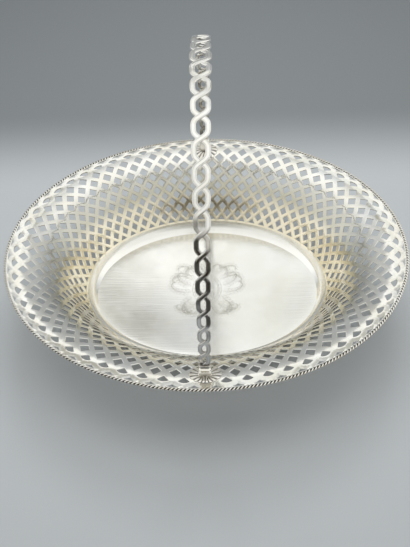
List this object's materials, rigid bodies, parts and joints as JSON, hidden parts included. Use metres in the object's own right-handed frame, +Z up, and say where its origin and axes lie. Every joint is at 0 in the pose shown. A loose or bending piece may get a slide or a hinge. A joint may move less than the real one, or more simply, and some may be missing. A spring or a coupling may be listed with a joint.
{
  "type": "table basket",
  "caption": "Oval silver table basket with pierced trellis sides, a corded rim, an oval foot and a tall swing handle of interlaced strands.",
  "frame": {"origin": "on the table, under the middle of the well", "axes": "+Z up, +X along the long axis of the oval, +Y towards the back hinge, which is also the line that the handle swings about"},
  "size_m": [0.3634, 0.2994, 0.2665],
  "materials": {
    "wall_silver": "polished silver, dulled in the recesses",
    "well_silver": "polished silver with fine wear",
    "foot_silver": "polished silver, lightly tarnished",
    "hinge_silver": "cast and chased silver",
    "handle_silver": "polished silver"
  },
  "bodies": {
    "basket": {"wall_panel_back_left": "wall_silver", "wall_panel_front_left": "wall_silver", "wall_panel_front_right": "wall_silver", "wall_panel_back_right": "wall_silver", "well_plate": "well_silver", "rim_wire": "wall_silver", "foot_collet": "foot_silver", "foot_wire": "foot_silver", "scallop_shell_front": "hinge_silver", "scallop_shell_back": "hinge_silver", "hinge_ear_front_outer": "hinge_silver", "hinge_ear_front_inner": "hinge_silver", "hinge_ear_back_outer": "hinge_silver", "hinge_ear_back_inner": "hinge_silver", "hinge_pin_front": "hinge_silver", "hinge_pin_back": "hinge_silver"},
    "handle": {"handle_end_front": "handle_silver", "handle_end_back": "handle_silver", "handle_strand_rising": "handle_silver", "handle_strand_falling": "handle_silver"}
  },
  "joints": [
    {"name": "handle_swing", "type": "hinge", "parent": "basket", "child": "handle", "pos_m": [0, 0, 0.0842], "axis": [0, 1, 0], "range_deg": [-86, 86]}
  ]
}
